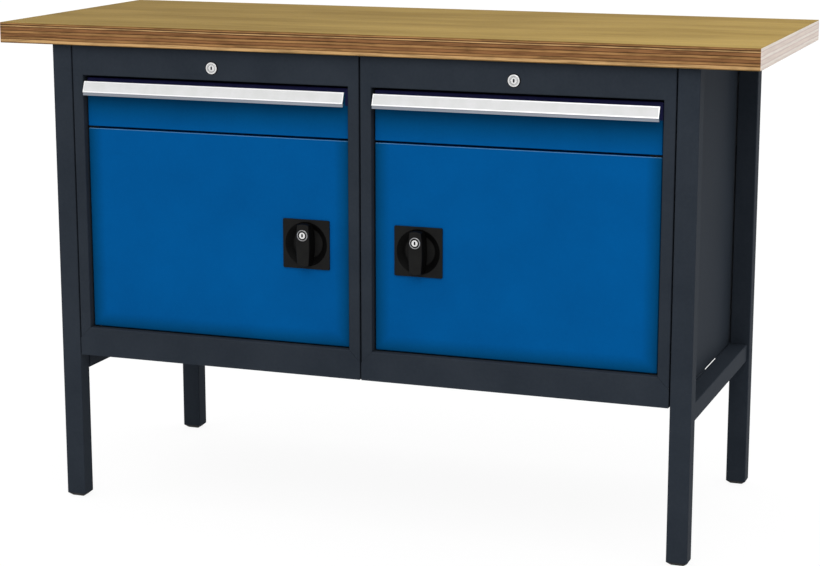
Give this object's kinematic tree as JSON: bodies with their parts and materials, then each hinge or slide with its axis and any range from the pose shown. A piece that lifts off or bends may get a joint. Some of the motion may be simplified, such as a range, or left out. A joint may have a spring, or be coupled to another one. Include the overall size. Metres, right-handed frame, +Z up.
{
  "type": "workbench with cabinet doors",
  "caption": "Workbench with a thick multiplex top on tube legs, steel cabinets below with locking drawers, handle strips and hinged doors with turning knob latches.",
  "frame": {"origin": "on the floor under the middle of the worktop", "axes": "+X along the worktop to the right seen from the front, +Y from the front to the back, +Z up"},
  "size_m": [1.5, 0.6, 0.96],
  "materials": {
    "plywood": "multiplex board, oiled, faint grain on top and ply stripes on the edges",
    "anthracite_paint": "anthracite powder coat, fine texture, satin matt",
    "blue_paint": "gentian blue powder coat, satin",
    "aluminium": "pale anodised extrusion",
    "black_plastic": "black moulded plastic, satin",
    "chrome": "nickel-plated lock metal",
    "zinc_steel": "zinc-plated steel"
  },
  "bodies": {
    "bench": {"worktop": "plywood", "rear_rail": "anthracite_paint", "leg_front_left": "anthracite_paint", "foot_front_left": "black_plastic", "leg_rear_left": "anthracite_paint", "foot_rear_left": "black_plastic", "side_rail_left": "anthracite_paint", "leg_front_right": "anthracite_paint", "foot_front_right": "black_plastic", "leg_rear_right": "anthracite_paint", "foot_rear_right": "black_plastic", "side_rail_right": "anthracite_paint", "left_cabinet_side_outer": "anthracite_paint", "left_cabinet_side_inner": "anthracite_paint", "left_cabinet_floor": "anthracite_paint", "left_cabinet_back": "anthracite_paint", "left_cabinet_top_rail": "anthracite_paint", "left_shelf": "anthracite_paint", "left_runner_outer": "zinc_steel", "left_runner_inner": "zinc_steel", "left_drawer_lock_barrel": "chrome", "left_hinge_bracket": "anthracite_paint", "left_hinge_pin_upper": "zinc_steel", "left_hinge_pin_lower": "zinc_steel", "right_cabinet_side_outer": "anthracite_paint", "right_cabinet_side_inner": "anthracite_paint", "right_cabinet_floor": "anthracite_paint", "right_cabinet_back": "anthracite_paint", "right_cabinet_top_rail": "anthracite_paint", "right_shelf": "anthracite_paint", "right_runner_outer": "zinc_steel", "right_runner_inner": "zinc_steel", "right_drawer_lock_barrel": "chrome", "right_hinge_bracket": "anthracite_paint", "right_hinge_pin_upper": "zinc_steel", "right_hinge_pin_lower": "zinc_steel"},
    "left_drawer": {"left_drawer_box": "anthracite_paint", "left_drawer_front": "blue_paint", "left_drawer_handle": "aluminium", "left_drawer_slide_outer": "zinc_steel", "left_drawer_slide_inner": "zinc_steel"},
    "left_door_leaf": {"left_door": "blue_paint", "left_knob_housing": "black_plastic"},
    "left_knob": {"left_knob_grip": "black_plastic", "left_latch_arm": "zinc_steel"},
    "left_knob_lock": {"left_knob_lock_plug": "chrome"},
    "left_drawer_lock": {"left_drawer_lock_plug": "chrome", "left_drawer_lock_tongue": "zinc_steel"},
    "right_drawer": {"right_drawer_box": "anthracite_paint", "right_drawer_front": "blue_paint", "right_drawer_handle": "aluminium", "right_drawer_slide_outer": "zinc_steel", "right_drawer_slide_inner": "zinc_steel"},
    "right_door_leaf": {"right_door": "blue_paint", "right_knob_housing": "black_plastic"},
    "right_knob": {"right_knob_grip": "black_plastic", "right_latch_arm": "zinc_steel"},
    "right_knob_lock": {"right_knob_lock_plug": "chrome"},
    "right_drawer_lock": {"right_drawer_lock_plug": "chrome", "right_drawer_lock_tongue": "zinc_steel"}
  },
  "joints": [
    {"name": "left_drawer_slide", "type": "slide", "parent": "bench", "child": "left_drawer", "axis": [0, -1, 0], "range_m": [0, 0.38]},
    {"name": "left_door_hinge", "type": "hinge", "parent": "bench", "child": "left_door_leaf", "pos_m": [-0.5625, -0.269, 0.559], "axis": [0, 0, -1], "range_deg": [0, 100]},
    {"name": "left_knob_turn", "type": "hinge", "parent": "left_door_leaf", "child": "left_knob", "pos_m": [-0.1135, -0.2783, 0.555], "axis": [0, 1, 0], "range_deg": [0, 90]},
    {"name": "left_knob_key_turn", "type": "hinge", "parent": "left_knob", "child": "left_knob_lock", "pos_m": [-0.1135, -0.2963, 0.575], "axis": [0, 1, 0], "range_deg": [0, 90]},
    {"name": "left_drawer_key_turn", "type": "hinge", "parent": "bench", "child": "left_drawer_lock", "pos_m": [-0.3005, -0.287, 0.885], "axis": [0, -1, 0], "range_deg": [0, 90]},
    {"name": "right_drawer_slide", "type": "slide", "parent": "bench", "child": "right_drawer", "axis": [0, -1, 0], "range_m": [0, 0.38]},
    {"name": "right_door_hinge", "type": "hinge", "parent": "bench", "child": "right_door_leaf", "pos_m": [0.5625, -0.269, 0.559], "axis": [0, 0, 1], "range_deg": [0, 100]},
    {"name": "right_knob_turn", "type": "hinge", "parent": "right_door_leaf", "child": "right_knob", "pos_m": [0.1135, -0.2783, 0.555], "axis": [0, -1, 0], "range_deg": [0, 90]},
    {"name": "right_knob_key_turn", "type": "hinge", "parent": "right_knob", "child": "right_knob_lock", "pos_m": [0.1135, -0.2963, 0.575], "axis": [0, 1, 0], "range_deg": [0, 90]},
    {"name": "right_drawer_key_turn", "type": "hinge", "parent": "bench", "child": "right_drawer_lock", "pos_m": [0.3005, -0.287, 0.885], "axis": [0, 1, 0], "range_deg": [0, 90]}
  ]
}
